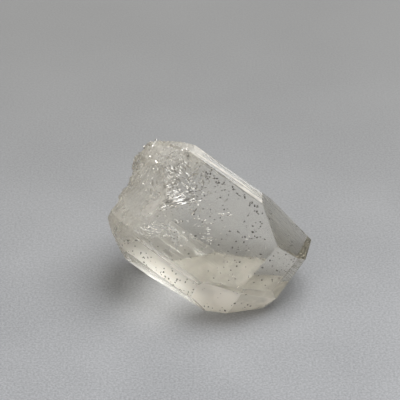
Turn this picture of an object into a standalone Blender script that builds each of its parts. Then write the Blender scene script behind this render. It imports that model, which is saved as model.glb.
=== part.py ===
"""A broken crystal of clear topaz, lying on one of its underside faces.

It is one solid: a flattened prism with a many-faced tip at its lower right end and a blunt, rough
broken end at its upper left. Metres, +Z up, the origin under the middle of the whole crystal.
The viewer looks along +Y.
"""

import math

import bmesh
import bpy
import numpy as np
from mathutils import Matrix, Vector

MM = 0.001

# How the crystal lies: its long axis runs to the right, towards the viewer and down to the tip.
AXIS_DIP = 20.0  # degrees below level
AXIS_HEADING = -32.8  # degrees from +X, turned towards the viewer
CENTRE = Vector((-0.27, -1.03, 5.94))  # the point that every face is measured from, in mm

# The flat faces. Turn goes round the long axis, from the side that looks up towards the near side,
# and lean goes from the tip end of the axis, both in degrees. Reach is from CENTRE, in mm.
FACES = {
    # the prism, in order round the axis
    "upper strip": (3.0, 90.0, 7.39),
    "upper strip bevel": (7.0, 90.0, 7.08),
    "front": (31.0, 90.0, 4.82),
    "lower strip bevel": (85.0, 90.0, 7.96),
    "lower strip": (96.0, 90.0, 7.90),
    "grazed strip": (126.0, 90.0, 7.87),
    "underside": (180.0, 90.0 - AXIS_DIP, 5.94),
    "back foot": (-163.0, 91.0, 6.30),
    "back": (-136.0, 91.0, 6.10),
    "back top": (-79.0, 78.0, 10.14),
    "top bevel": (-60.5, 90.0, 8.13),
    "top edge": (-41.5, 90.0, 8.74),
    # the tip
    "dark tip face": (-13.0, 64.5, 8.84),
    "front tip face": (33.0, 43.0, 9.65),
    "right tip face": (-144.5, 31.0, 9.85),
    "lower tip face": (98.0, 67.0, 8.69),
    "lower right tip face": (105.5, 40.0, 10.20),
    "left bevel": (72.5, 70.0, 8.72),
    "right bevel": (63.5, 35.0, 10.60),
    "end bevel": (32.5, 26.5, 11.00),
}
TIP_FACES = (
    "dark tip face",
    "front tip face",
    "right tip face",
    "lower tip face",
    "lower right tip face",
    "left bevel",
    "right bevel",
    "end bevel",
)

# The broken end: a blunt dome that falls away to the prism faces, with lumps and broken steps.
# Its profile runs across the front face from the upper side to the lower one: (mm from CENTRE
# across the axis, mm from CENTRE along the axis).
BROKEN_PROFILE = (
    (-7.0, 13.0),
    (-5.0, 13.5),
    (-3.0, 13.75),
    (-1.0, 13.0),
    (1.0, 11.75),
    (3.0, 12.2),
    (5.0, 12.0),
    (7.0, 12.4),
)
RIM_WIDTH = 3.8  # mm in from a prism face over which the dome falls
RIM_DROP = 5.0  # mm that it falls
RIM_ROUNDING = 2.2  # how suddenly: 1 is a straight slope
LUMP_HEIGHT = 0.45  # mm
LUMP_LENGTH = 6.0  # mm from one lump to the next
STEP_HEIGHT = 0.5  # mm between the flat treads that topaz breaks along
STEP_SHARE = 0.5  # how far the surface follows those treads
GRID_PITCH = 0.34  # mm between the points of the broken surface
GRID_SPAN = 24.0  # mm across the cutter
BLOCK_SIDE = 60.0  # mm, the block that the faces are sawn from

# Shallow gouges on the front face: (along the axis, across it, length, width, turn), in mm and
# degrees, from the foot of the line that meets the face squarely from CENTRE.
GOUGE_DEPTH = 0.14
GOUGES = (
    (-4.9, 0.1, 5.8, 0.55, 51.0),
    (-7.7, 3.5, 2.4, 0.60, -14.0),
    (-4.9, 2.7, 2.0, 0.50, 13.0),
    (-0.3, -0.2, 2.0, 0.35, 45.0),
    (1.1, -1.2, 2.0, 0.35, 45.0),
    (-3.7, -3.1, 2.4, 0.50, 4.0),
    (-2.5, -4.0, 2.6, 0.50, 3.0),
    (-6.4, -5.8, 2.2, 0.45, 0.0),
)

TOPAZ = (0.86, 0.83, 0.76)  # pale champagne


def frame_of_axis():
    """The axis towards the tip, the direction across it that looks up, and the one on the near side."""
    dip, heading = math.radians(AXIS_DIP), math.radians(AXIS_HEADING)
    axis = Vector((math.cos(dip) * math.cos(heading), math.cos(dip) * math.sin(heading), -math.sin(dip)))
    upward = (Vector((0.0, 0.0, 1.0)) - axis.z * axis).normalized()
    return axis, upward, axis.cross(upward)


AXIS, UPWARD, NEAR = frame_of_axis()


def face_normal(turn, lean):
    turn, lean = math.radians(turn), math.radians(lean)
    across = math.cos(turn) * UPWARD + math.sin(turn) * NEAR
    return math.cos(lean) * AXIS + math.sin(lean) * across


def new_object(name, mesh_maker):
    """An object whose mesh is whatever mesh_maker puts into an empty bmesh, in mm."""
    bm = bmesh.new()
    mesh_maker(bm)
    bmesh.ops.recalc_face_normals(bm, faces=bm.faces[:])
    bmesh.ops.scale(bm, vec=(MM, MM, MM), verts=bm.verts[:])
    mesh = bpy.data.meshes.new(name)
    bm.to_mesh(mesh)
    bm.free()
    obj = bpy.data.objects.new(name, mesh)
    bpy.context.scene.collection.objects.link(obj)
    return obj


def sawn_block(bm):
    """A block sawn to each flat face in turn; its far end is left long for the break."""
    bmesh.ops.create_cube(bm, size=BLOCK_SIDE, matrix=Matrix.Translation(CENTRE))
    for turn, lean, reach in FACES.values():
        normal = face_normal(turn, lean)
        cut = bmesh.ops.bisect_plane(
            bm,
            geom=bm.verts[:] + bm.edges[:] + bm.faces[:],
            dist=1e-5,
            plane_co=CENTRE + normal * reach,
            plane_no=normal,
            clear_outer=True,
        )
        rim = [part for part in cut["geom_cut"] if isinstance(part, bmesh.types.BMEdge)]
        bmesh.ops.edgeloop_fill(bm, edges=rim)


def lumps(x, y, length):
    """A smooth unevenness between about -1 and 1: waves in six directions that never line up."""
    total = np.zeros_like(x)
    for k in range(6):
        heading = math.radians(137.5 * k + 20.0)
        wave = length * (1.0 - 0.11 * k)
        total += np.sin(2 * np.pi * (x * math.cos(heading) + y * math.sin(heading)) / wave + 1.7 * k)
    return total / 3.0


def broken_height(up, near):
    """How far behind CENTRE, along the axis, the broken surface lies over a point of the section."""
    side_at, side_reach = np.array(BROKEN_PROFILE).T
    crowding = np.zeros_like(up)
    for name, (turn, lean, reach) in FACES.items():
        if name in TIP_FACES:
            continue
        turn, lean = math.radians(turn), math.radians(lean)
        outward = up * math.cos(turn) + near * math.sin(turn)
        room = reach - math.sin(lean) * outward + math.cos(lean) * side_reach.mean()
        crowding = np.maximum(crowding, np.clip(1.0 - room / RIM_WIDTH, 0.0, 1.3))
    side = math.radians(FACES["front"][0] + 90.0)
    across = up * math.cos(side) + near * math.sin(side)
    height = np.interp(across, side_at, side_reach) - RIM_DROP * crowding**RIM_ROUNDING
    height += LUMP_HEIGHT * lumps(up, near, LUMP_LENGTH)
    tread = height / STEP_HEIGHT + 0.5 * lumps(near, up, 2.0 * LUMP_LENGTH)
    part = tread - np.floor(tread)
    sharpened = np.clip((part - 0.35) / 0.3, 0.0, 1.0)
    return height + STEP_SHARE * STEP_HEIGHT * (sharpened - part)


def break_cutter(bm):
    """All that the break took away: a slab whose near side is the broken surface."""
    count = int(GRID_SPAN / GRID_PITCH)
    bmesh.ops.create_grid(bm, x_segments=count, y_segments=count, size=GRID_SPAN / 2)
    flat = np.array([vert.co[:] for vert in bm.verts])
    height = broken_height(flat[:, 0], flat[:, 1])
    for vert, drop in zip(bm.verts, height):
        vert.co = CENTRE + UPWARD * vert.co.x + NEAR * vert.co.y - AXIS * float(drop)
    rim = bmesh.ops.extrude_face_region(bm, geom=bm.faces[:])
    for vert in rim["geom"]:
        if isinstance(vert, bmesh.types.BMVert):
            depth = (CENTRE - vert.co).dot(AXIS)
            vert.co -= AXIS * (BLOCK_SIDE - depth)


def gouge_cutter(bm):
    """Slim ellipsoids sunk half into the front face."""
    turn, lean, reach = FACES["front"]
    normal = face_normal(turn, lean)
    across = normal.cross(AXIS)
    for along_at, across_at, length, width, heading in GOUGES:
        foot = CENTRE + normal * reach + AXIS * along_at + across * across_at
        lie = Matrix((AXIS, across, normal)).transposed().to_4x4()
        size = Matrix.Diagonal((length / 2, width / 2, GOUGE_DEPTH, 1.0))
        place = Matrix.Translation(foot) @ lie @ Matrix.Rotation(math.radians(heading), 4, "Z") @ size
        bmesh.ops.create_icosphere(bm, subdivisions=2, radius=1.0, matrix=place)


def cut(target, cutter):
    cutter.hide_render = True
    cutter.display_type = "WIRE"
    boolean = target.modifiers.new(cutter.name, "BOOLEAN")
    boolean.operation = "DIFFERENCE"
    boolean.object = cutter


def principled(name, colour):
    material = bpy.data.materials.new(name)
    material.use_nodes = True
    shader = material.node_tree.nodes["Principled BSDF"]
    shader.inputs["Base Color"].default_value = (*colour, 1.0)
    shader.inputs["Roughness"].default_value = 0.08
    shader.inputs["Metallic"].default_value = 0.0
    shader.inputs["IOR"].default_value = 1.62
    return material


def main():
    for obj in list(bpy.data.objects):
        bpy.data.objects.remove(obj, do_unlink=True)
    crystal = new_object("topaz_crystal", sawn_block)
    crystal.data.materials.append(principled("topaz", TOPAZ))
    cut(crystal, new_object("what_broke_off", break_cutter))
    cut(crystal, new_object("gouges", gouge_cutter))


main()
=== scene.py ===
"""The topaz crystal as it looks: clear glassy stone with etched and frosted faces, dark mineral
grains under them and a rough broken end. It lies on a grained grey surface in soft light that comes
mostly from behind on the right.
"""

import math

import bpy
import numpy as np
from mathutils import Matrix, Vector

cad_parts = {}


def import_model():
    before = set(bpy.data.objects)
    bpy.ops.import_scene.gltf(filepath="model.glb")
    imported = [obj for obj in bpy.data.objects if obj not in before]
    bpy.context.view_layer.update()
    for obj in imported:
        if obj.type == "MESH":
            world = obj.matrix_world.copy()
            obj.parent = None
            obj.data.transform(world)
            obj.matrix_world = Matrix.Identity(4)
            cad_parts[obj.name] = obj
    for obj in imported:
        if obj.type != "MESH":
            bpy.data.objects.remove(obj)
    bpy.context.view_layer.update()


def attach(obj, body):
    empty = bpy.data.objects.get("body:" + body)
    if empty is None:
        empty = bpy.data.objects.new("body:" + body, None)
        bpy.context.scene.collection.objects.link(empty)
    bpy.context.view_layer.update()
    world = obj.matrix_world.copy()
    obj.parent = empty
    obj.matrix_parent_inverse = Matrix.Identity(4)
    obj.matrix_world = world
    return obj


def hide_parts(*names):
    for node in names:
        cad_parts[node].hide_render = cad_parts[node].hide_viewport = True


MM = 0.001
TO_TIP = np.array([1.0, 0.0, 0.0])  # the axis towards the tip, in the crystal's own frame

# How the crystal lies, as in its solid: the axis runs to the right, to the viewer and down.
AXIS_DIP = 20.0  # degrees below level
AXIS_HEADING = -32.8  # degrees from +X, turned towards the viewer
CENTRE = np.array([-0.27, -1.03, 5.94])  # the point that every face is measured from, in mm

# The flat faces: turn round the axis, lean from the tip's end of it, in degrees, and reach in mm.
FACES = {
    "upper strip": (3.0, 90.0, 7.39),
    "upper strip bevel": (7.0, 90.0, 7.08),
    "front": (31.0, 90.0, 4.82),
    "lower strip bevel": (85.0, 90.0, 7.96),
    "lower strip": (96.0, 90.0, 7.90),
    "grazed strip": (126.0, 90.0, 7.87),
    "underside": (180.0, 90.0 - AXIS_DIP, 5.94),
    "back foot": (-163.0, 91.0, 6.30),
    "back": (-136.0, 91.0, 6.10),
    "back top": (-79.0, 78.0, 10.14),
    "top bevel": (-60.5, 90.0, 8.13),
    "top edge": (-41.5, 90.0, 8.74),
    "dark tip face": (-13.0, 64.5, 8.84),
    "front tip face": (33.0, 43.0, 9.65),
    "right tip face": (-144.5, 31.0, 9.85),
    "lower tip face": (98.0, 67.0, 8.69),
    "lower right tip face": (105.5, 40.0, 10.20),
    "left bevel": (72.5, 70.0, 8.72),
    "right bevel": (63.5, 35.0, 10.60),
    "end bevel": (32.5, 26.5, 11.00),
}
BLOCK_HALF = 60.0  # mm, half the side of the square that each face is cut from
SAME_POINT = 1e-4  # mm within which two corners are one
TIP_FACES = (
    "dark tip face",
    "front tip face",
    "right tip face",
    "lower tip face",
    "lower right tip face",
    "left bevel",
    "right bevel",
    "end bevel",
)

# How frosted, how milky and how striated along the axis each surface is, from 0 to 1; those not
# named are clear glass.
FINISHES = {
    "upper strip": (0.30, 0.62, 1.0),
    "upper strip bevel": (0.30, 0.55, 1.0),
    "front": (0.05, 0.06, 0.08),
    "lower strip bevel": (0.35, 0.42, 0.5),
    "lower strip": (0.90, 0.38, 0.6),
    "grazed strip": (0.18, 0.02, 0.6),
    "underside": (0.80, 0.34, 0.0),
    "back foot": (0.65, 0.20, 0.3),
    "back": (0.45, 0.07, 0.3),
    "back top": (0.30, 0.05, 0.2),
    "top bevel": (0.25, 0.10, 0.5),
    "top edge": (0.25, 0.10, 0.6),
    "dark tip face": (0.20, 0.00, 0.0),
    "front tip face": (0.25, 0.14, 0.0),
    "right tip face": (0.50, 0.10, 0.0),
    "lower tip face": (0.80, 0.64, 0.0),
    "lower right tip face": (0.40, 0.42, 0.0),
    "right bevel": (0.40, 0.30, 0.0),
}
BROKEN_FINISH = (0.60, 0.24, 0.0)
BLEND_WIDTH = 3.0  # mm over which a face's finish turns into the broken end's
BLEND_EASING = 1.5  # 1 turns evenly, and more keeps the turn closer to the broken end
SHARP_ANGLE = 9.0  # degrees past which an edge isn't smoothed
UNCUT_REACH = 15.5  # mm from CENTRE to the end that the crystal had before it broke

# The broken end: its profile across the front face, and its fall to the prism faces.
BROKEN_PROFILE = (
    (-7.0, 13.0),
    (-5.0, 13.5),
    (-3.0, 13.75),
    (-1.0, 13.0),
    (1.0, 11.75),
    (3.0, 12.2),
    (5.0, 12.0),
    (7.0, 12.4),
)
RIM_WIDTH = 3.8  # mm in from a prism face over which the surface falls
RIM_DROP = 5.0  # mm that it falls
RIM_ROUNDING = 2.2  # how suddenly: 1 is a straight slope
MOST_CROWDING = 1.3  # widths of the rim, from where the fall starts to where it stops growing
LUMP_HEIGHT = 0.45  # mm
LUMP_LENGTH = 6.0  # mm from one lump to the next
STEP_HEIGHT = 0.5  # mm between the flat treads that topaz breaks along
STEP_SHARE = 0.5  # how far the surface follows those treads
RISER_START = 0.35  # of the way from one tread to the next
RISER_WIDTH = 0.3  # of that way

# Chips on the broken end: flat flakes that each tilt their own way, deepest on the upper side.
CHIP_SIZE = 0.55  # mm
CHIP_SLOPE = 0.5  # mm up or down for each mm along
CHIP_SHARE = 0.5  # of that slope in the middle of the section
CHIP_FADE = 0.12  # less of it for each mm towards the lower side
LEAST_CHIP_SHARE = 0.15
CHIP_SEED = 11
CHIP_SPAN = 22.0  # mm across the area that has chips
CHIP_BLOCK = 4000  # points compared with the chips at a time, to save memory

# Faces are a little uneven, and the front face has gouges: (along the axis, across it, length,
# width, turn), in mm and degrees.
UNEVENNESS = 0.012  # mm
UNEVEN_LENGTH = 5.0  # mm
FADE_WIDTH = 0.3  # mm in from a face's edge over which its relief dies out
GOUGE_DEPTH = 0.14  # mm
GOUGE_ROUNDING = 1.5  # how softly a gouge runs out at its edge
GOUGES = (
    (-4.9, 0.1, 5.8, 0.55, 51.0),
    (-7.7, 3.5, 2.4, 0.60, -14.0),
    (-4.9, 2.7, 2.0, 0.50, 13.0),
    (-0.3, -0.2, 2.0, 0.35, 45.0),
    (1.1, -1.2, 2.0, 0.35, 45.0),
    (-3.7, -3.1, 2.4, 0.50, 4.0),
    (-2.5, -4.0, 2.6, 0.50, 3.0),
    (-6.4, -5.8, 2.2, 0.45, 0.0),
)

# Dark grains in clouds under the front face: (along the axis, across it, spread along, spread
# across, count), in mm.
GRAIN_CLOUDS = (
    (-3.0, 5.6, 1.5, 0.5, 26),
    (1.4, 5.6, 2.4, 0.45, 40),
    (-3.4, 3.0, 0.5, 0.5, 10),
    (1.0, 1.5, 2.4, 1.8, 30),
    (5.2, 2.4, 1.2, 1.8, 34),
    (5.0, -1.6, 1.8, 1.6, 30),
    (-1.0, -4.0, 3.0, 2.0, 22),
)
# Grains strewn evenly under the other faces that are seen.
GRAINS_UNDER = {
    "lower strip": 66,
    "grazed strip": 8,
    "dark tip face": 20,
    "front tip face": 44,
    "lower tip face": 18,
    "lower right tip face": 12,
    "upper strip": 6,
}
GRAIN_SIZE = 0.22  # mm
GRAIN_SPREAD = 0.32  # of the logarithm of the size
GRAIN_LIMITS = (0.1, 0.34)  # mm
GRAIN_SHAPES = ((0.9, 0.6, 0.45), (1.2, 0.9, 0.7))  # least and most of the size on each axis
GRAIN_JAG = 0.22  # how far a corner is pulled in or out
GRAIN_SEED = 5
MOST_FROST_TO_SEE_IN = 0.35  # more hides what lies deeper
GRAIN_DEPTH = (0.13, 0.5)  # mm under a glassy face
SHALLOW_GRAIN_DEPTH = (0.0, 0.05)  # mm under a frosted one

# Pale flakes in clouds under the front face: (along the axis, across it, spread along, spread
# across, count, size), in mm.
FLAKE_CLOUDS = (
    (-7.6, 3.4, 2.2, 2.2, 430, 0.25),
    (-7.6, 0.8, 2.0, 1.6, 230, 0.26),
    (-4.8, 4.9, 1.8, 0.9, 90, 0.24),
    (-8.5, -2.5, 1.2, 2.4, 80, 0.18),
    (-3.6, 3.0, 1.6, 1.6, 70, 0.20),
    (-3.4, 0.4, 1.4, 1.0, 40, 0.22),
    (3.0, -0.4, 4.0, 3.0, 30, 0.09),
)
FLAKE_DEPTH = (0.0, 0.9)  # mm under the front face
FLAKE_SPREAD = 0.5  # of the logarithm of the size
FLAKE_LIMITS = (0.05, 0.9)  # mm
FLAKE_SHAPES = ((1.2, 0.12, 0.02), (2.4, 0.45, 0.04))  # long, narrow and thin
FLAKE_JAG = 0.25
FLAKE_SEED = 8
# Flakes in the broken end: those that would lie outside the crystal are left out.
BROKEN_FLAKES = 1600  # over a square
BROKEN_HALF = 8.0  # mm, half the side of that square
RIM_FLAKES = 1100  # more of them on the side that is seen over the front face
RIM_FLAKES_OUTWARD = (2.0, 4.8)  # mm from the axis towards the front face
RIM_FLAKES_SIDEWAYS = (-2.0, 7.0)  # mm across it, towards the upper side
BROKEN_FLAKE_SIZE = 0.155  # mm
BROKEN_FLAKE_DEPTH = 0.12  # mm
BROKEN_FLAKE_MARGIN = 0.2  # mm in from the prism faces

# Etch marks in clouds on the front face: (along the axis, across it, spread along, spread across,
# turn, length, count), in mm and degrees.
ETCH_SETS = (
    (-4.9, 0.2, 0.30, 0.30, 51.0, 3.6, 7),
    (-6.1, -1.4, 0.40, 0.40, 51.0, 1.6, 6),
    (-3.6, 1.6, 0.40, 0.40, 49.0, 1.8, 7),
    (-5.8, 0.8, 0.80, 0.40, 37.0, 1.3, 12),
    (-0.2, -0.2, 0.90, 0.50, 45.0, 1.0, 12),
    (1.1, -1.2, 0.70, 0.40, 45.0, 0.8, 9),
    (-2.8, -3.4, 1.20, 0.90, 4.0, 0.8, 44),
    (-5.4, -4.6, 1.30, 1.00, 0.0, 0.7, 36),
    (-7.4, 3.4, 1.00, 1.00, -14.0, 1.2, 26),
    (-5.0, 2.8, 1.00, 0.80, 13.0, 1.0, 20),
    (-6.8, 1.6, 1.20, 0.80, 40.0, 1.1, 22),
    (0.5, 2.2, 0.50, 0.30, 54.0, 1.0, 5),
    (3.0, -0.8, 3.50, 2.60, 20.0, 0.4, 22),
)
ETCH_DEPTH = (0.0, 0.01)  # mm
ETCH_TURN_SPREAD = 9.0  # degrees
ETCH_LENGTHS = (0.5, 1.3)  # of the length given
ETCH_WIDTH = 0.07  # mm, and the thickness too
ETCH_WIDENING = 0.035  # mm of width for each mm of length
ETCH_JAG = 0.08
ETCH_SEED = 3

CLEAR_OF_FLOOR = 0.3  # mm that a speck's middle stays above the floor
CLEAR_OF_BREAK = 0.1  # mm that a grain or a cloud's flake stays under the broken end
MARGIN_SLACK = 0.01  # mm by which the margin under a face is less than the least depth

EDGE_PITCH = 0.18  # mm between the points along an edge
RIM_PITCH = 0.14  # mm between the points along the broken rim
RING_PITCH = 0.35  # mm between the rings of a face
FRONT_RING_PITCH = 0.14  # mm, finer for the gouges
BROKEN_RING_PITCH = 0.123  # mm
FEWEST_RINGS = 3
HALVINGS = 36  # of a line, to find where it meets the broken surface

# The view: a long lens, 33 degrees above level, looking along +Y.
VIEW_RISE = 33.0
VIEW_DISTANCE = 280.0  # mm
VIEW_TARGET = CENTRE + np.array([-1.0, -2.25, 7.25])  # mm
SENSOR_WIDTH = 36.0  # mm
LENS = 201.7  # mm

# The lamps: (azimuth from +Y towards +X, rise and angular radius in degrees, radiance, colour).
LAMPS = {
    "window": (39.0, 58.0, 27.0, 3.5, (0.975, 0.985, 1.0)),
    "low": (-165.0, 5.0, 8.0, 17.0, (1.0, 0.955, 0.87)),
    "ceiling": (-94.0, 77.0, 41.0, 0.45, (1.0, 0.985, 0.95)),
}
LAMP_DISTANCE = 0.6  # m
ROOM_COLOUR = (1.0, 0.965, 0.89, 1.0)
ROOM_LIGHT = 0.15
# The gleam: the light that the stone gathers on the surface beside its lower edge.
GLEAM_AT = (-5.1, -5.2, 0.0)  # mm
GLEAM_AZIMUTH = -147.0  # degrees, square to the crystal's lower edge
GLEAM_RISE = 36.0  # degrees
GLEAM_RADIUS = 0.0038  # m
GLEAM_DISTANCE = 0.3  # m
GLEAM_SOURCE = 0.004  # m
GLEAM_STRENGTH = 7.2  # watts for each square metre at that distance, as if it shone all ways
GLEAM_COLOUR = (1.0, 0.985, 0.95)

FLOOR_HALF = 0.8  # m
FLOOR_GAP = 0.00002  # m between the floor and the face that rests on it


def crystal_frame():
    """Columns: the axis to the tip, the direction across it that looks up, the one on the near side."""
    dip, heading = math.radians(AXIS_DIP), math.radians(AXIS_HEADING)
    flat = math.cos(dip)
    axis = np.array([flat * math.cos(heading), flat * math.sin(heading), -math.sin(dip)])
    upward = np.array([0.0, 0.0, 1.0]) - axis[2] * axis
    upward /= np.linalg.norm(upward)
    return np.column_stack([axis, upward, np.cross(axis, upward)])


FRAME = crystal_frame()


def in_metres(local):
    """Points from the crystal's own frame, in mm round CENTRE, to the scene's, in metres."""
    return (CENTRE + local @ FRAME.T) * MM


def face_plane(name):
    """A face's outward normal in the crystal's frame, and its reach."""
    turn, lean, reach = FACES[name]
    turn, lean = math.radians(turn), math.radians(lean)
    across = math.sin(lean)
    return np.array([math.cos(lean), across * math.cos(turn), across * math.sin(turn)]), reach


def face_axes(normal, guide=TO_TIP):
    """Two directions in a plane: along the guide as nearly as it goes, and across, so that the normal
    is along x across."""
    along = guide - (guide @ normal) * normal
    along /= np.linalg.norm(along)
    return along, np.cross(normal, along)


def lumps(x, y, length):
    """A smooth unevenness between about -1 and 1: waves in six directions that never line up, each
    a little shorter than the last and shifted along."""
    turn, first_turn, shortening, shift = 137.5, 20.0, 0.11, 1.7
    total = np.zeros_like(x)
    for k in range(6):
        heading = math.radians(turn * k + first_turn)
        wave = length * (1.0 - shortening * k)
        along = x * math.cos(heading) + y * math.sin(heading)
        total += np.sin(2 * np.pi * along / wave + shift * k)
    return total / 3.0


def chips(x, y):
    """Flat flakes: each point takes the tilt of its nearest seed point, times its distance from it."""
    rng = np.random.default_rng(CHIP_SEED)
    count = int((CHIP_SPAN / CHIP_SIZE) ** 2)
    seeds = rng.uniform(-CHIP_SPAN / 2, CHIP_SPAN / 2, (count, 2))
    tilts = rng.normal(0.0, 1.0, (count, 2))
    nearest = np.empty(x.size, int)
    flat = np.stack([x.ravel(), y.ravel()], 1)
    for start in range(0, len(flat), CHIP_BLOCK):
        block = slice(start, start + CHIP_BLOCK)
        away = ((flat[block, None, :] - seeds[None]) ** 2).sum(-1)
        nearest[block] = away.argmin(1)
    return ((flat - seeds[nearest]) * tilts[nearest]).sum(1).reshape(x.shape)


def broken_height(up, near):
    """How far behind CENTRE the broken surface lies: the profile across the front face, less a fall
    that grows with a power of how near the point is to a prism face, plus lumps, treads and chips."""
    side_at, side_reach = np.array(BROKEN_PROFILE).T
    crowding = np.zeros_like(up)
    for name, (turn, lean, reach) in FACES.items():
        if name in TIP_FACES:
            continue
        turn, lean = math.radians(turn), math.radians(lean)
        outward = up * math.cos(turn) + near * math.sin(turn)
        room = reach - math.sin(lean) * outward + math.cos(lean) * side_reach.mean()
        crowding = np.maximum(crowding, np.clip(1.0 - room / RIM_WIDTH, 0.0, MOST_CROWDING))
    side = math.radians(FACES["front"][0] + 90.0)
    across = up * math.cos(side) + near * math.sin(side)
    height = np.interp(across, side_at, side_reach) - RIM_DROP * crowding**RIM_ROUNDING
    height += LUMP_HEIGHT * lumps(up, near, LUMP_LENGTH)
    tread = height / STEP_HEIGHT + 0.5 * lumps(near, up, 2.0 * LUMP_LENGTH)
    part = tread - np.floor(tread)
    sharpened = np.clip((part - RISER_START) / RISER_WIDTH, 0.0, 1.0)
    height += STEP_SHARE * STEP_HEIGHT * (sharpened - part)
    chipped = np.clip(CHIP_SHARE - CHIP_FADE * across, LEAST_CHIP_SHARE, 1.0)
    chipped *= np.clip(1.0 - crowding, 0.0, 1.0)
    return height + CHIP_SLOPE * chipped * chips(up, near)


def clipped(corners, normal, reach):
    """The part of a convex outline on the inner side of a plane."""
    room = reach - corners @ normal
    kept = []
    for i, corner in enumerate(corners):
        j = (i + 1) % len(corners)
        if room[i] >= 0.0:
            kept.append(corner)
        if (room[i] >= 0.0) != (room[j] >= 0.0):
            kept.append(corner + (corners[j] - corner) * room[i] / (room[i] - room[j]))
    return np.array(kept)


def face_outlines():
    """Each face's corners, counter-clockwise from outside, and with equal corners made the same: a
    large square in the face's plane, cut off at every other plane."""
    planes = {name: face_plane(name) for name in FACES}
    planes["uncut end"] = (-TO_TIP, UNCUT_REACH)
    known = []
    outlines = {}
    for name, (normal, reach) in planes.items():
        guide = np.array([0.0, 1.0, 0.0]) if abs(normal[0]) > 0.9 else TO_TIP
        along, across = face_axes(normal, guide)
        square = np.array([-along - across, along - across, along + across, across - along])
        corners = reach * normal + BLOCK_HALF * square
        for other, (other_normal, other_reach) in planes.items():
            if other != name and len(corners):
                corners = clipped(corners, other_normal, other_reach)
        shared = []
        for corner in corners:
            match = next((k for k in known if np.abs(k - corner).max() < SAME_POINT), None)
            if match is None:
                known.append(corner)
                match = corner
            if not any(match is s for s in shared):
                shared.append(match)
        if len(shared) > 2:
            outlines[name] = shared
    outlines.pop("uncut end")
    return outlines


def edge_points(start, end):
    """Points along an edge at an even pitch, without its last."""
    count = max(1, math.ceil(np.linalg.norm(end - start) / EDGE_PITCH))
    share = np.arange(count)[:, None] / count
    return start + share * (end - start)


def rim_points(back_start, back_end, tip_start, tip_end):
    """Where a prism face meets the broken surface: lines from the uncut end to the face's other end,
    each halved again and again until it ends on the surface."""
    count = max(2, math.ceil(np.linalg.norm(back_end - back_start) / RIM_PITCH))
    share = np.linspace(0.0, 1.0, count + 1)[:, None]
    back = back_start + share * (back_end - back_start)
    tip = tip_start + share * (tip_end - tip_start)
    low, high = np.zeros(len(share)), np.ones(len(share))
    for _ in range(HALVINGS):
        middle = (low + high) / 2
        point = back + middle[:, None] * (tip - back)
        behind = point[:, 0] + broken_height(point[:, 1], point[:, 2]) < 0.0
        low, high = np.where(behind, middle, low), np.where(behind, high, middle)
    return back + low[:, None] * (tip - back)


def face_loop(corners):
    """A face's boundary points, and the stretch of them along the broken rim if it has one."""
    corners = np.array(corners)
    at_back = np.abs(corners[:, 0] + UNCUT_REACH) < 1e-6
    if not at_back.any():
        ahead = np.roll(corners, -1, 0)
        return np.concatenate([edge_points(a, b) for a, b in zip(corners, ahead)]), None
    first = next(i for i in range(len(corners)) if at_back[i] and at_back[(i + 1) % len(corners)])
    corners = np.roll(corners, -first, 0)
    rim = rim_points(corners[0], corners[1], corners[-1], corners[2])
    rest = [rim[-1], *corners[2:], rim[0]]
    sides = [edge_points(a, b) for a, b in zip(rest[:-1], rest[1:])]
    return np.concatenate([rim[:-1], *sides]), rim


def fan(loop, centre, pitch):
    """Rings from a centre out to a closed loop: a point is the centre plus a share of the way out."""
    reach = np.linalg.norm(loop - centre, axis=1).max()
    rings = max(FEWEST_RINGS, math.ceil(reach / pitch))
    share = np.arange(1, rings + 1)[:, None, None] / rings
    points = np.concatenate([centre[None], (centre + share * (loop - centre)).reshape(-1, 3)])
    count = len(loop)
    here = np.arange(count)
    ahead = (here + 1) % count
    hub = np.stack([np.zeros(count, int), 1 + here, 1 + ahead], 1)
    start = 1 + count * np.arange(rings - 1)[:, None]
    band = np.stack([start + here, start + count + here, start + count + ahead, start + ahead], -1)
    return points, hub, band.reshape(-1, 4)


def gouge_depth(along, across):
    """Slim hollows: depth times a power of one less the squared distance in an ellipse."""
    depth = np.zeros_like(along)
    for along_at, across_at, length, width, heading in GOUGES:
        turn = math.radians(heading)
        x, y = along - along_at, across - across_at
        lengthwise = (x * math.cos(turn) + y * math.sin(turn)) / (length / 2)
        sideways = (y * math.cos(turn) - x * math.sin(turn)) / (width / 2)
        hollow = np.clip(1.0 - lengthwise**2 - sideways**2, 0.0, 1.0)
        depth += GOUGE_DEPTH * hollow**GOUGE_ROUNDING
    return depth


def relief(name, along, across):
    """How far a face's surface stands out from its plane, in mm. The resting face only sinks in."""
    out = UNEVENNESS * lumps(along, across, UNEVEN_LENGTH)
    if name == "underside":
        out = -np.abs(out)
    if name == "front":
        out -= gouge_depth(along, across)
    return out


def face_patch(name, corners):
    """One face: rings from its middle out to its boundary, lifted by its relief, which dies out
    towards the boundary. Also the stretch of the boundary along the broken rim."""
    normal, reach = face_plane(name)
    along, across = face_axes(normal)
    loop, rim = face_loop(corners)
    centre = loop.mean(0)
    pitch = FRONT_RING_PITCH if name == "front" else RING_PITCH
    points, hub, band = fan(loop, centre, pitch)
    rings = (len(points) - 1) // len(loop)
    inward = np.concatenate([[1.0], np.repeat(1.0 - np.arange(1, rings + 1) / rings, len(loop))])
    outlying = np.concatenate([[1.0], np.tile(np.linalg.norm(loop - centre, axis=1), rings)])
    fade = np.clip(inward * outlying / FADE_WIDTH, 0.0, 1.0)
    foot = reach * normal
    lift = relief(name, (points - foot) @ along, (points - foot) @ across)
    points = points + (fade * lift)[:, None] * normal
    return points, hub, band, rim


def chained(rims):
    """The broken rim as one closed loop, clockwise round the axis, from each face's own stretch."""
    left = [rim[::-1] for rim in rims]
    loop = [left.pop(0)]
    while left:
        end = loop[-1][-1]
        at = min(range(len(left)), key=lambda i: np.abs(left[i][0] - end).max())
        loop.append(left.pop(at))
    return np.concatenate([piece[:-1] for piece in loop])


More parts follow.
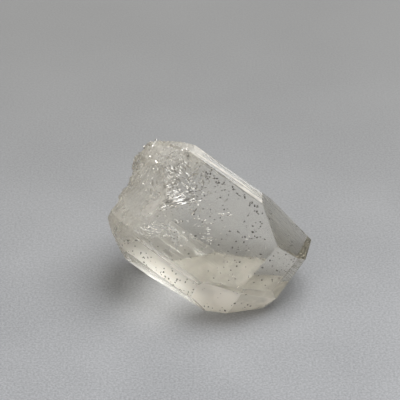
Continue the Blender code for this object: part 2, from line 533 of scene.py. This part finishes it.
def broken_patch(rims):
    """The broken surface: rings in the section out to the rim, each point at its broken height or on
    the wall of a prism face that leans, whichever is further in."""
    loop = chained(rims)
    flat = loop * np.array([0.0, 1.0, 1.0])
    points, hub, band = fan(flat, flat.mean(0), BROKEN_RING_PITCH)
    points[:, 0] = -broken_height(points[:, 1], points[:, 2])
    for name in FACES:
        normal, reach = face_plane(name)
        if name not in TIP_FACES and abs(normal[0]) > 0.01:
            wall = (reach - points[:, 1:] @ normal[1:]) / normal[0]
            inner = np.minimum if normal[0] > 0.0 else np.maximum
            points[:, 0] = inner(points[:, 0], wall)
    points[-len(loop) :] = loop
    return points, hub, band


def mesh_object(name, points, faces):
    mesh = bpy.data.meshes.new(name)
    mesh.from_pydata(points, [], faces)
    obj = bpy.data.objects.new(name, mesh)
    bpy.context.scene.collection.objects.link(obj)
    return obj


def blended_finish(finish, points):
    """A face's own finish, turning into the broken end's over the last stretch before it, with the
    grit that only the broken end has as its fourth number."""
    ahead = points[:, 0] + broken_height(points[:, 1], points[:, 2])
    nearness = np.clip(1.0 - ahead / BLEND_WIDTH, 0.0, 1.0)[:, None] ** BLEND_EASING
    return (1.0 - nearness) * np.array([*finish, 0.0]) + nearness * np.array([*BROKEN_FINISH, 1.0])


def crystal():
    """Every face's patch and the broken end's, joined along their shared points."""
    patches = []
    rims = []
    finishes = []
    for name, corners in face_outlines().items():
        points, hub, band, rim = face_patch(name, corners)
        patches.append((points, hub, band))
        finishes.append(blended_finish(FINISHES.get(name, (0.0, 0.0, 0.0)), points))
        if rim is not None:
            rims.append(rim)
    patches.append(broken_patch(rims))
    finishes.append(np.tile((*BROKEN_FINISH, 1.0), (len(patches[-1][0]), 1)))
    points = np.concatenate([patch for patch, _, _ in patches])
    shifts = np.cumsum([0] + [len(patch) for patch, _, _ in patches[:-1]])
    hubs = np.concatenate([hub + shift for shift, (_, hub, _) in zip(shifts, patches)])
    bands = np.concatenate([band + shift for shift, (_, _, band) in zip(shifts, patches)])
    _, first, merged = np.unique(np.round(points, 4), axis=0, return_index=True, return_inverse=True)
    merged = merged.reshape(-1)
    faces = merged[hubs].tolist() + merged[bands].tolist()
    obj = mesh_object("clear_crystal", in_metres(points[first]), faces)
    finishes = np.concatenate(finishes).astype(np.float32)[first]
    for column, name in enumerate(("frost", "milk", "striae", "grit")):
        values = np.ascontiguousarray(finishes[:, column])
        obj.data.attributes.new(name, "FLOAT", "POINT").data.foreach_set("value", values)
    obj.data.shade_smooth()
    obj.data.set_sharp_from_angle(angle=math.radians(SHARP_ANGLE))
    return obj


def ball():
    """A ball of twenty equal triangles: three golden rectangles give its corners, and each three
    corners that lie 2 apart make a face."""
    golden = (1 + math.sqrt(5)) / 2
    corners = np.array([(0.0, a, b * golden) for a in (-1, 1) for b in (-1, 1)])
    corners = np.concatenate([np.roll(corners, turn, 1) for turn in range(3)])
    near = np.abs(np.linalg.norm(corners[:, None] - corners[None], axis=2) - 2.0) < 1e-6
    faces = []
    for i in range(12):
        for j in range(i + 1, 12):
            for k in range(j + 1, 12):
                if near[i, j] and near[j, k] and near[i, k]:
                    outward = np.linalg.det(corners[[i, j, k]]) > 0.0
                    faces.append((i, j, k) if outward else (i, k, j))
    return corners / np.linalg.norm(corners[0]), np.array(faces)


def specks(name, centres, sizes, turns, jag, rng):
    """Many small closed lumps in one mesh: a ball's corners, each pulled in or out by a random share,
    stretched to a lump's three sizes, turned and set at its centre."""
    corners, faces = ball()
    count = len(centres)
    shapes = corners * (1.0 + rng.uniform(-jag, jag, (count, len(corners), 1))) * sizes[:, None] / 2
    points = centres[:, None] + np.einsum("nij,nkj->nki", turns, shapes)
    every = faces + len(corners) * np.arange(count)[:, None, None]
    return mesh_object(name, in_metres(points.reshape(-1, 3)), every.reshape(-1, 3).tolist())


def any_turns(count, rng):
    """Random turns: the orthogonal part of random matrices, with their mirror images turned back."""
    turns, _ = np.linalg.qr(rng.normal(size=(count, 3, 3)))
    turns[np.linalg.det(turns) < 0.0, :, 0] *= -1.0
    return turns


def inside(points, margin, broken_margin):
    """Whether each point lies in the crystal, at least a margin under its faces and broken end."""
    deep = points[:, 0] + broken_height(points[:, 1], points[:, 2]) > broken_margin
    for name in FACES:
        normal, reach = face_plane(name)
        deep &= reach - points @ normal > margin
    return deep & ((CENTRE + points @ FRAME.T)[:, 2] > CLEAR_OF_FLOOR)


def under_face(name, along_at, across_at, depth):
    """Points at a depth under a face, from the foot of the line that meets it squarely."""
    normal, reach = face_plane(name)
    along, across = face_axes(normal)
    return (reach - depth)[:, None] * normal + along_at[:, None] * along + across_at[:, None] * across


def cloud(group, depths, rng):
    """Points under the front face, thickest in the middle of a group and none outside the crystal."""
    along_at, across_at, along_spread, across_spread, count = group
    tries = 4 * count
    along = rng.normal(along_at, along_spread, tries)
    across = rng.normal(across_at, across_spread, tries)
    points = under_face("front", along, across, rng.uniform(*depths, tries))
    return points[inside(points, depths[0] - MARGIN_SLACK, CLEAR_OF_BREAK)][:count]


def strewn(name, corners, count, depths, rng):
    """Points spread evenly under a whole face: the first of many tries in the box round it."""
    normal, _ = face_plane(name)
    along, across = face_axes(normal)
    flat = np.stack([np.array(corners) @ along, np.array(corners) @ across], 1)
    tries = 12 * count
    at = rng.uniform(flat.min(0), flat.max(0), (tries, 2))
    points = under_face(name, at[:, 0], at[:, 1], rng.uniform(*depths, tries))
    return points[inside(points, depths[0] - MARGIN_SLACK, CLEAR_OF_BREAK)][:count]


def scattered(name, centres, size, spread, limits, shapes, jag, rng):
    """Lumps round given centres: the size times a random power, within limits, times a random share
    of it on each axis, and turned at random."""
    size = np.clip(size * np.exp(spread * rng.normal(size=len(centres))), *limits)
    sizes = size[:, None] * rng.uniform(*shapes, (len(centres), 3))
    return specks(name, centres, sizes, any_turns(len(centres), rng), jag, rng)


def mineral_grains():
    """Dark grains in clouds under the front face, and strewn under the others that are seen."""
    rng = np.random.default_rng(GRAIN_SEED)
    outlines = face_outlines()
    places = [cloud(group, GRAIN_DEPTH, rng) for group in GRAIN_CLOUDS]
    for name, count in GRAINS_UNDER.items():
        frost = FINISHES[name][0]
        depths = SHALLOW_GRAIN_DEPTH if frost > MOST_FROST_TO_SEE_IN else GRAIN_DEPTH
        places.append(strewn(name, outlines[name], count, depths, rng))
    shape = (GRAIN_SIZE, GRAIN_SPREAD, GRAIN_LIMITS, GRAIN_SHAPES, GRAIN_JAG)
    return scattered("mineral_grains", np.concatenate(places), *shape, rng)


def under_break(up, near, rng):
    """Points just under the broken surface, over given points of the section."""
    behind = rng.uniform(0.0, BROKEN_FLAKE_DEPTH, len(up)) - broken_height(up, near)
    return np.column_stack([behind, up, near])


def pale_flakes():
    """Thin bright flakes in clouds under the front face, and all over the broken end."""
    rng = np.random.default_rng(FLAKE_SEED)
    places = [cloud(group[:5], FLAKE_DEPTH, rng) for group in FLAKE_CLOUDS]
    size = [np.full(len(place), group[5]) for place, group in zip(places, FLAKE_CLOUDS)]
    up, near = rng.uniform(-BROKEN_HALF, BROKEN_HALF, (BROKEN_FLAKES, 2)).T
    everywhere = under_break(up, near, rng)
    turn = math.radians(FACES["front"][0])
    least, most = zip(RIM_FLAKES_OUTWARD, RIM_FLAKES_SIDEWAYS)
    outward, sideways = rng.uniform(least, most, (RIM_FLAKES, 2)).T
    up = outward * math.cos(turn) + sideways * math.sin(turn)
    near = outward * math.sin(turn) - sideways * math.cos(turn)
    on_break = np.concatenate([everywhere, under_break(up, near, rng)])
    places.append(on_break[inside(on_break, BROKEN_FLAKE_MARGIN, 0.0)])
    size.append(np.full(len(places[-1]), BROKEN_FLAKE_SIZE))
    shape = (np.concatenate(size), FLAKE_SPREAD, FLAKE_LIMITS, FLAKE_SHAPES, FLAKE_JAG)
    return scattered("pale_flakes", np.concatenate(places), *shape, rng)


def etch_marks():
    """Bright slivers that lie in the front face, each cloud of them with its own heading."""
    rng = np.random.default_rng(ETCH_SEED)
    normal, _ = face_plane("front")
    along, across = face_axes(normal)
    centres, sizes, turns = [], [], []
    for *group, turn, length, count in ETCH_SETS:
        place = cloud((*group, count), ETCH_DEPTH, rng)
        heading = np.radians(turn + rng.normal(0.0, ETCH_TURN_SPREAD, len(place)))
        way = np.cos(heading)[:, None] * along + np.sin(heading)[:, None] * across
        turns.append(np.stack([way, np.cross(normal, way), np.tile(normal, (len(place), 1))], -1))
        size = length * rng.uniform(*ETCH_LENGTHS, len(place))
        width = ETCH_WIDTH + ETCH_WIDENING * size
        sizes.append(np.stack([size, width, np.full(len(size), ETCH_WIDTH)], 1))
        centres.append(place)
    centres, sizes, turns = (np.concatenate(part) for part in (centres, sizes, turns))
    obj = specks("etch_marks", centres, sizes, turns, ETCH_JAG, rng)
    obj.data.shade_smooth()
    return obj


class Wire:
    """A number in a material's nodes. Arithmetic on it adds Math nodes."""

    def __init__(self, finish, socket):
        self.finish = finish
        self.socket = socket

    def _maths(self, operation, first, second):
        node = self.finish.node("ShaderNodeMath", {"operation": operation}, {0: first, 1: second})
        return Wire(self.finish, node.outputs[0])

    def __add__(self, other):
        return self._maths("ADD", self, other)

    def __rsub__(self, other):
        return self._maths("SUBTRACT", other, self)

    def __mul__(self, other):
        return self._maths("MULTIPLY", self, other)

    __radd__ = __add__
    __rmul__ = __mul__


class Finish:
    """A material in the making: its Principled shader, its output and the nodes added to them."""

    def __init__(self, name):
        self.material = bpy.data.materials.new(name)
        self.material.use_nodes = True
        self.tree = self.material.node_tree
        self.shader = self.tree.nodes["Principled BSDF"]
        self.output = self.tree.nodes["Material Output"]

    def feed(self, socket, value):
        if isinstance(value, Wire):
            value = value.socket
        if isinstance(value, bpy.types.NodeSocket):
            self.tree.links.new(value, socket)
        else:
            socket.default_value = value

    def node(self, kind, settings=None, sockets=None):
        made = self.tree.nodes.new(kind)
        for key, value in (settings or {}).items():
            setattr(made, key, value)
        for key, value in (sockets or {}).items():
            self.feed(made.inputs[key], value)
        return made

    def set(self, **sockets):
        for key, value in sockets.items():
            self.feed(self.shader.inputs[key.replace("_", " ")], value)

    def place(self):
        return self.node("ShaderNodeTexCoord").outputs["Object"]

    def along_axis(self, stretch):
        """The place as read in the crystal's own frame, drawn out along its axis."""
        parts = {}
        for socket, direction in zip("XYZ", FRAME.T * np.array([[1.0 / stretch], [1.0], [1.0]])):
            sockets = {0: self.place(), 1: direction}
            dot = self.node("ShaderNodeVectorMath", {"operation": "DOT_PRODUCT"}, sockets)
            parts[socket] = dot.outputs["Value"]
        return self.node("ShaderNodeCombineXYZ", None, parts).outputs[0]

    def noise(self, size, detail=3.0, roughness=0.55, place=None):
        """Cloudy noise whose lumps are about size across, in metres."""
        sockets = {
            "Vector": place or self.place(),
            "Scale": 1.0 / size,
            "Detail": detail,
            "Roughness": roughness,
        }
        return Wire(self, self.node("ShaderNodeTexNoise", None, sockets).outputs["Fac"])

    def spread(self, wire, low, high):
        """The stretch of a number from low to high, drawn out to 0 to 1 and cut off there."""
        settings = {"interpolation_type": "SMOOTHSTEP"}
        sockets = {"Value": wire, "From Min": low, "From Max": high}
        return Wire(self, self.node("ShaderNodeMapRange", settings, sockets).outputs["Result"])

    def attribute(self, name):
        return Wire(self, self.node("ShaderNodeAttribute", {"attribute_name": name}).outputs["Fac"])

    def bump(self, height, distance, strength):
        sockets = {"Height": height, "Distance": distance, "Strength": strength}
        self.set(Normal=self.node("ShaderNodeBump", None, sockets).outputs["Normal"])

    def mixed(self, factor, first, second):
        node = self.node("ShaderNodeMix", {"data_type": "RGBA"}, {0: factor, 6: first, 7: second})
        return node.outputs[2]


def clear_topaz():
    """Clear glass that takes in a little blue, rougher where frosted, grooved along the axis where
    striated, and with a pale film mixed in where milky."""
    finish = Finish("clear_topaz")
    frost = finish.attribute("frost")
    haze = finish.spread(finish.noise(0.0035), 0.4, 0.7)
    finish.set(
        Base_Color=(1.0, 1.0, 1.0, 1.0),
        Transmission_Weight=1.0,
        IOR=1.62,
        Roughness=0.015 + 0.02 * haze + frost * (0.35 + 0.15 * haze),
    )
    grit = finish.noise(0.0004, detail=4.0, roughness=0.6) * finish.attribute("grit")
    lines = finish.noise(0.00028, detail=1.0, roughness=0.5, place=finish.along_axis(40.0))
    striae = finish.attribute("striae") * finish.spread(lines, 0.42, 0.60)
    finish.bump(grit + striae * 0.8, distance=0.00012, strength=0.7)
    sockets = {"Color": (0.97, 0.92, 0.72, 1.0), "Density": 26.0}
    absorption = finish.node("ShaderNodeVolumeAbsorption", None, sockets)
    finish.feed(finish.output.inputs["Volume"], absorption.outputs[0])
    sockets = {"Base Color": (0.90, 0.86, 0.78, 1.0), "Roughness": 0.5}
    milk = finish.node("ShaderNodeBsdfPrincipled", None, sockets)
    factor = finish.attribute("milk") * (0.7 + 0.6 * haze) * (1.35 - 1.15 * striae)
    sockets = {0: factor, 1: finish.shader.outputs[0], 2: milk.outputs[0]}
    both = finish.node("ShaderNodeMixShader", None, sockets)
    finish.feed(finish.output.inputs["Surface"], both.outputs[0])
    return finish.material


def dark_mineral():
    finish = Finish("dark_mineral")
    shade = finish.spread(finish.noise(0.0003), 0.35, 0.7)
    colour = finish.mixed(shade, (0.012, 0.010, 0.008, 1.0), (0.045, 0.034, 0.024, 1.0))
    finish.set(Base_Color=colour, Roughness=0.4)
    return finish.material


def bright_crack():
    """Air-filled cracks in clear stone send light back as mirrors do."""
    finish = Finish("bright_crack")
    shade = finish.spread(finish.noise(0.0006), 0.35, 0.7)
    colour = finish.mixed(shade, (0.78, 0.76, 0.72, 1.0), (0.97, 0.96, 0.94, 1.0))
    finish.set(Base_Color=colour, Metallic=1.0, Roughness=0.18 + 0.14 * shade)
    return finish.material


def grey_surface():
    """Grey with a fine bright grain, which fades further away into a flatter grey that is also darker,
    as painted shade where the light falls off towards the back.
    """
    finish = Finish("grained_surface")
    grain = finish.noise(0.00028, detail=2.0, roughness=0.7)
    cloud_tone = finish.spread(finish.noise(0.02, detail=2.0, roughness=0.5), 0.3, 0.7)
    shade = 0.75 * finish.spread(grain, 0.25, 0.75) + 0.25 * cloud_tone
    depth = finish.node("ShaderNodeSeparateXYZ", None, {0: finish.place()}).outputs["Y"]
    # Painted shade: the far grey is darker and less blue than the near one, standing in for the light
    # falling off towards the back. The grain and the cloudy tone are the surface's own.
    near_tone = finish.mixed(shade, (0.322, 0.33, 0.348, 1.0), (0.56, 0.57, 0.595, 1.0))
    shaded_far_tone = finish.mixed(shade, (0.295, 0.295, 0.295, 1.0), (0.335, 0.335, 0.335, 1.0))
    tone = finish.mixed(finish.spread(depth, -0.04, 0.075), near_tone, shaded_far_tone)
    finish.set(Base_Color=tone, Roughness=0.75)
    finish.bump(grain, distance=0.00004, strength=0.5)
    return finish.material


def floor():
    half = FLOOR_HALF
    corners = [(-half, -half, 0.0), (half, -half, 0.0), (half, half, 0.0), (-half, half, 0.0)]
    obj = mesh_object("surface", corners, [(0, 1, 2, 3)])
    obj.location.z = -FLOOR_GAP
    obj.data.materials.append(grey_surface())


def hung(light, azimuth, rise, distance, target):
    """An object for a light that shines at a target from a distance, in degrees and metres."""
    azimuth, rise = math.radians(azimuth), math.radians(rise)
    flat = math.cos(rise)
    away = Vector((math.sin(azimuth) * flat, math.cos(azimuth) * flat, math.sin(rise)))
    obj = bpy.data.objects.new(light.name, light)
    bpy.context.scene.collection.objects.link(obj)
    obj.location = target + distance * away
    obj.rotation_euler = (-away).to_track_quat("-Z", "Y").to_euler()


def lamp(name, azimuth, rise, radius_degrees, radiance, colour):
    """A round soft light of a given radiance, as wide as its angular radius from the crystal."""
    radius = LAMP_DISTANCE * math.tan(math.radians(radius_degrees))
    light = bpy.data.lights.new(name, "AREA")
    light.shape = "DISK"
    light.size = 2.0 * radius
    light.energy = radiance * math.pi * math.pi * radius**2
    light.color = colour
    hung(light, azimuth, rise, LAMP_DISTANCE, Vector((0.0, 0.0, 0.0)))


def gleam():
    light = bpy.data.lights.new("gleam", "SPOT")
    light.spot_size = 2.0 * math.atan(GLEAM_RADIUS / GLEAM_DISTANCE)
    light.spot_blend = 1.0
    light.shadow_soft_size = GLEAM_SOURCE
    light.energy = 4.0 * math.pi * GLEAM_STRENGTH * GLEAM_DISTANCE**2
    light.color = GLEAM_COLOUR
    hung(light, GLEAM_AZIMUTH, GLEAM_RISE, GLEAM_DISTANCE, Vector(GLEAM_AT) * MM)


def lights():
    for name, settings in LAMPS.items():
        lamp(name, *settings)
    gleam()
    world = bpy.data.worlds.new("room")
    world.use_nodes = True
    bpy.context.scene.world = world
    background = world.node_tree.nodes["Background"]
    background.inputs["Color"].default_value = ROOM_COLOUR
    background.inputs["Strength"].default_value = ROOM_LIGHT


def camera():
    data = bpy.data.cameras.new("camera")
    data.sensor_width = SENSOR_WIDTH
    data.lens = LENS
    data.clip_start = 0.01
    obj = bpy.data.objects.new("camera", data)
    bpy.context.scene.collection.objects.link(obj)
    rise = math.radians(VIEW_RISE)
    target = Vector(VIEW_TARGET) * MM
    obj.location = target + Vector((0.0, -math.cos(rise), math.sin(rise))) * VIEW_DISTANCE * MM
    obj.rotation_euler = (math.radians(90.0 - VIEW_RISE), 0.0, 0.0)
    bpy.context.scene.camera = obj


def main():
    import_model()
    camera()
    lights()
    floor()
    stone = crystal()
    stone.data.materials.append(clear_topaz())
    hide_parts("topaz_crystal")
    grains = mineral_grains()
    grains.data.materials.append(dark_mineral())
    flakes = pale_flakes()
    marks = etch_marks()
    for piece in (flakes, marks):
        piece.data.materials.append(bright_crack())
    for piece in (stone, grains, flakes, marks):
        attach(piece, "root")
    scene = bpy.context.scene
    scene.view_settings.view_transform = "Standard"
    scene.cycles.max_bounces = 16
    scene.cycles.transmission_bounces = 16


main()
